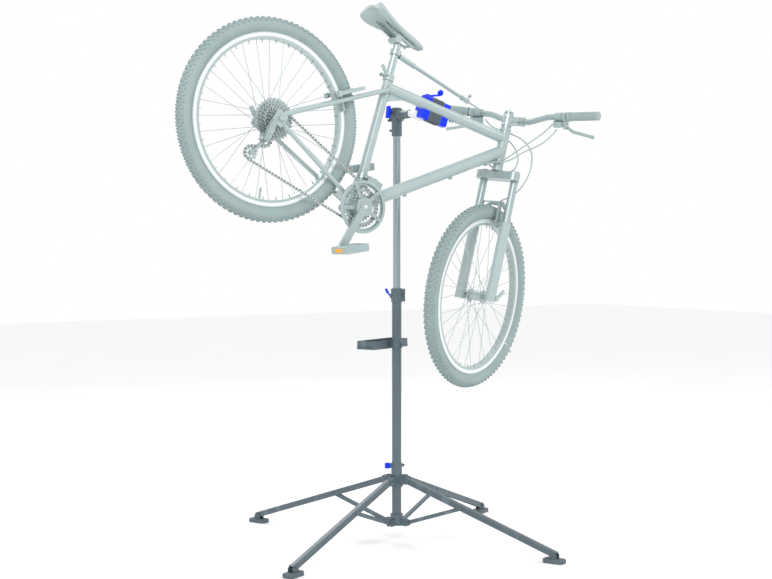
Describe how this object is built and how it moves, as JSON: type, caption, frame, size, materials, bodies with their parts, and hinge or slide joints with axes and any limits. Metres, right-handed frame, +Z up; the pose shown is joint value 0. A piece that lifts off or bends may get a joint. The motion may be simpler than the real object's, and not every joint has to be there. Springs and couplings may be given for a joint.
{
  "type": "bicycle on repair stand",
  "caption": "Mountain bicycle held nose-down by its top tube in the jaws of a folding four-legged repair stand with a tool tray",
  "frame": {"origin": "on the floor under the mast's axis", "axes": "+X towards the bicycle's front, +Y to its left, +Z up along the mast"},
  "size_m": [1.6509, 1.2744, 1.9459],
  "materials": {
    "slate_paint": "satin slate grey powder coat",
    "foot_plastic": "moulded pad",
    "grey_steel": "grey drawn steel tube",
    "bright_chrome": "polished plating",
    "blue_plastic": "moulded, glossy",
    "jaw_plastic": "ribbed moulding with blue ends",
    "frame_paint": "pale grey-green lacquer",
    "fork_metal": "crown and stanchions",
    "fork_paint": "lacquered lowers",
    "pale_alloy": "satin anodised",
    "rim_alloy": "machined brake track",
    "pale_tyre": "knobbly tread",
    "drive_steel": "plated links and teeth",
    "pale_plastic": "moulded",
    "grip_rubber": "ribbed",
    "saddle_cover": "stitched cover over foam",
    "cable_cover": "smooth outer casing"
  },
  "bodies": {
    "base": {"lower_mast": "slate_paint", "base_hub": "slate_paint", "height_clamp": "slate_paint"},
    "collar": {"leg_collar": "slate_paint"},
    "collar_knob": {"collar_knob": "blue_plastic"},
    "tray": {"tool_tray": "slate_paint"},
    "height_lever": {"height_lever": "blue_plastic"},
    "mast_top": {"upper_mast": "grey_steel", "clamp_head": "slate_paint"},
    "head_lever": {"head_lever": "blue_plastic"},
    "bike": {"clamp_arm": "bright_chrome", "lower_jaw": "jaw_plastic", "top_tube": "frame_paint", "down_tube": "frame_paint", "seat_tube": "frame_paint", "head_tube": "frame_paint", "chain_stays": "frame_paint", "seat_stays": "frame_paint", "chain": "drive_steel", "rear_derailleur": "drive_steel", "jockey_wheels": "pale_plastic", "front_derailleur": "drive_steel", "rear_brake": "pale_alloy", "cables": "cable_cover"},
    "upper_jaw": {"upper_jaw": "jaw_plastic"},
    "clamp_crank": {"clamp_crank": "blue_plastic"},
    "seat": {"seat_post": "pale_alloy", "saddle": "saddle_cover", "holder_rod": "pale_alloy"},
    "seat_lever": {"seat_lever": "pale_alloy"},
    "steering": {"fork_crown": "fork_metal", "stem": "pale_alloy", "handlebar": "pale_alloy", "grips": "grip_rubber", "shifter_pods": "pale_plastic"},
    "fork_slider": {"fork_lowers": "fork_paint", "front_brake": "pale_alloy"},
    "front_wheel": {"front_tyre": "pale_tyre", "front_wheel": "rim_alloy"},
    "rear_wheel": {"rear_tyre": "pale_tyre", "rear_wheel": "rim_alloy"},
    "cassette": {"cassette": "drive_steel"},
    "cranks": {"crank_arms": "pale_alloy", "chainrings": "pale_alloy"},
    "pedal_left": {"pedal_left": "pale_plastic"},
    "pedal_right": {"pedal_right": "pale_plastic"},
    "brake_lever_left": {"brake_lever_left": "pale_alloy"},
    "brake_lever_right": {"brake_lever_right": "pale_alloy"},
    "strut_1": {"strut_1": "slate_paint"},
    "leg_1": {"leg_1": "slate_paint"},
    "foot_1": {"foot_1": "foot_plastic"},
    "strut_2": {"strut_2": "slate_paint"},
    "leg_2": {"leg_2": "slate_paint"},
    "foot_2": {"foot_2": "foot_plastic"},
    "strut_3": {"strut_3": "slate_paint"},
    "leg_3": {"leg_3": "slate_paint"},
    "foot_3": {"foot_3": "foot_plastic"},
    "strut_4": {"strut_4": "slate_paint"},
    "leg_4": {"leg_4": "slate_paint"},
    "foot_4": {"foot_4": "foot_plastic"}
  },
  "joints": [
    {"name": "base_fold", "type": "hinge", "parent": "base", "child": "strut_1", "pos_m": [0.01751, -0.04145, 0.073], "axis": [-0.9212, -0.3891, 0], "range_deg": [0, 52]},
    {"name": "leg_1_fold", "type": "hinge", "parent": "strut_1", "child": "leg_1", "pos_m": [0.10976, -0.25985, 0.15233], "axis": [-0.9212, -0.3891, 0], "range_deg": [-104, 0]},
    {"name": "foot_1_level", "type": "hinge", "parent": "leg_1", "child": "foot_1", "pos_m": [0.25203, -0.59663, 0.03], "axis": [-0.9212, -0.3891, 0], "range_deg": [0, 52]},
    {"name": "strut_2_fold", "type": "hinge", "parent": "base", "child": "strut_2", "pos_m": [0.04145, 0.01751, 0.073], "axis": [0.3891, -0.9212, 0], "range_deg": [0, 52]},
    {"name": "leg_2_fold", "type": "hinge", "parent": "strut_2", "child": "leg_2", "pos_m": [0.25985, 0.10976, 0.15233], "axis": [0.3891, -0.9212, 0], "range_deg": [-104, 0]},
    {"name": "foot_2_level", "type": "hinge", "parent": "leg_2", "child": "foot_2", "pos_m": [0.59663, 0.25203, 0.03], "axis": [0.3891, -0.9212, 0], "range_deg": [0, 52]},
    {"name": "strut_3_fold", "type": "hinge", "parent": "base", "child": "strut_3", "pos_m": [-0.01751, 0.04145, 0.073], "axis": [0.9212, 0.3891, 0], "range_deg": [0, 52]},
    {"name": "leg_3_fold", "type": "hinge", "parent": "strut_3", "child": "leg_3", "pos_m": [-0.10976, 0.25985, 0.15233], "axis": [0.9212, 0.3891, 0], "range_deg": [-104, 0]},
    {"name": "foot_3_level", "type": "hinge", "parent": "leg_3", "child": "foot_3", "pos_m": [-0.25203, 0.59663, 0.03], "axis": [0.9212, 0.3891, 0], "range_deg": [0, 52]},
    {"name": "strut_4_fold", "type": "hinge", "parent": "base", "child": "strut_4", "pos_m": [-0.04145, -0.01751, 0.073], "axis": [-0.3891, 0.9212, 0], "range_deg": [0, 52]},
    {"name": "leg_4_fold", "type": "hinge", "parent": "strut_4", "child": "leg_4", "pos_m": [-0.25985, -0.10976, 0.15233], "axis": [-0.3891, 0.9212, 0], "range_deg": [-104, 0]},
    {"name": "foot_4_level", "type": "hinge", "parent": "leg_4", "child": "foot_4", "pos_m": [-0.59663, -0.25203, 0.03], "axis": [-0.3891, 0.9212, 0], "range_deg": [0, 52]},
    {"name": "collar_slide", "type": "slide", "parent": "base", "child": "collar", "axis": [0, 0, 1], "range_m": [0, 0.31267]},
    {"name": "collar_knob_turn", "type": "hinge", "parent": "collar", "child": "collar_knob", "pos_m": [0, 0, 0.28365], "axis": [-0.9265, 0.3762, 0], "continuous": true},
    {"name": "mast_slide", "type": "slide", "parent": "base", "child": "mast_top", "axis": [0, 0, 1], "range_m": [-0.25, 0.1]},
    {"name": "height_lever_swing", "type": "hinge", "parent": "base", "child": "height_lever", "pos_m": [-0.01854, 0.01274, 0.915], "axis": [-0.5664, -0.8241, 0], "range_deg": [0, 70]},
    {"name": "tray_turn", "type": "hinge", "parent": "base", "child": "tray", "pos_m": [0, 0, 0.72], "axis": [0, 0, 1], "range_deg": [0, 90]},
    {"name": "head_lever_swing", "type": "hinge", "parent": "mast_top", "child": "head_lever", "pos_m": [-0.024, 0, 1.597], "axis": [0, 1, 0], "range_deg": [0, 40]},
    {"name": "arm_turn", "type": "hinge", "parent": "mast_top", "child": "bike", "pos_m": [0, 0, 1.58], "axis": [0, -1, 0], "range_deg": [-50, 100]},
    {"name": "jaw_open", "type": "hinge", "parent": "bike", "child": "upper_jaw", "pos_m": [0, -0.2046, 1.5855], "axis": [-0.958, 0, 0.2869], "range_deg": [0, 24]},
    {"name": "clamp_crank_turn", "type": "hinge", "parent": "upper_jaw", "child": "clamp_crank", "pos_m": [-0.01245, -0.1916, 1.58923], "axis": [0.2869, 0, 0.958], "continuous": true},
    {"name": "seat_post_slide", "type": "slide", "parent": "bike", "child": "seat", "axis": [0.3056, 0, 0.9522], "range_m": [0, 0.06]},
    {"name": "seat_lever_swing", "type": "hinge", "parent": "bike", "child": "seat_lever", "pos_m": [-0.22477, -0.2426, 1.69454], "axis": [0, 1, 0], "range_deg": [0, 60]},
    {"name": "steering_turn", "type": "hinge", "parent": "bike", "child": "steering", "pos_m": [0.16043, -0.2426, 0.92638], "axis": [0.2543, 0, 0.9671], "range_deg": [-44, 0], "deforming": ["cables"]},
    {"name": "fork_travel", "type": "slide", "parent": "steering", "child": "fork_slider", "axis": [0.2543, 0, 0.9671], "range_m": [0, 0.06], "stiffness_N_per_m": 2500, "springref_m": -0.02},
    {"name": "front_wheel_spin", "type": "hinge", "parent": "fork_slider", "child": "front_wheel", "pos_m": [0.19809, -0.22687, 0.91648], "axis": [-0.3623, 0.9272, 0.0952], "continuous": true},
    {"name": "rear_wheel_spin", "type": "hinge", "parent": "bike", "child": "rear_wheel", "pos_m": [-0.67782, -0.2426, 1.51365], "axis": [0, 1, 0], "continuous": true},
    {"name": "crank_spin", "type": "hinge", "parent": "bike", "child": "cranks", "pos_m": [-0.34874, -0.2426, 1.23291], "axis": [0, 1, 0], "continuous": true},
    {"name": "cassette_spin", "type": "hinge", "parent": "bike", "child": "cassette", "pos_m": [-0.67782, -0.2426, 1.51365], "axis": [0, 1, 0], "continuous": true},
    {"name": "pedal_left_spin", "type": "hinge", "parent": "cranks", "child": "pedal_left", "pos_m": [-0.25312, -0.1731, 1.37346], "axis": [0, 1, 0], "continuous": true},
    {"name": "brake_lever_left_pull", "type": "hinge", "parent": "steering", "child": "brake_lever_left", "pos_m": [0.33663, -0.02752, 1.57347], "axis": [0.8566, 0.4045, 0.3202], "range_deg": [0, 9], "stiffness_Nm_per_rad": 2, "springref_deg": -6.88},
    {"name": "pedal_right_spin", "type": "hinge", "parent": "cranks", "child": "pedal_right", "pos_m": [-0.44437, -0.3121, 1.09236], "axis": [0, 1, 0], "continuous": true},
    {"name": "brake_lever_right_pull", "type": "hinge", "parent": "steering", "child": "brake_lever_right", "pos_m": [0.47953, -0.39323, 1.5359], "axis": [-0.9256, -0.228, -0.3021], "range_deg": [0, 9], "stiffness_Nm_per_rad": 2, "springref_deg": -6.88}
  ],
  "couplings": [
    {"joint": "leg_1_fold", "follows": "base_fold", "ratio": -2},
    {"joint": "foot_1_level", "follows": "base_fold", "ratio": 1},
    {"joint": "strut_2_fold", "follows": "base_fold", "ratio": 1},
    {"joint": "leg_2_fold", "follows": "base_fold", "ratio": -2},
    {"joint": "foot_2_level", "follows": "base_fold", "ratio": 1},
    {"joint": "strut_3_fold", "follows": "base_fold", "ratio": 1},
    {"joint": "leg_3_fold", "follows": "base_fold", "ratio": -2},
    {"joint": "foot_3_level", "follows": "base_fold", "ratio": 1},
    {"joint": "strut_4_fold", "follows": "base_fold", "ratio": 1},
    {"joint": "leg_4_fold", "follows": "base_fold", "ratio": -2},
    {"joint": "foot_4_level", "follows": "base_fold", "ratio": 1},
    {"joint": "collar_slide", "follows": "base_fold", "m_per_rad": 0.34451},
    {"joint": "cassette_spin", "follows": "crank_spin", "ratio": 1.6}
  ]
}
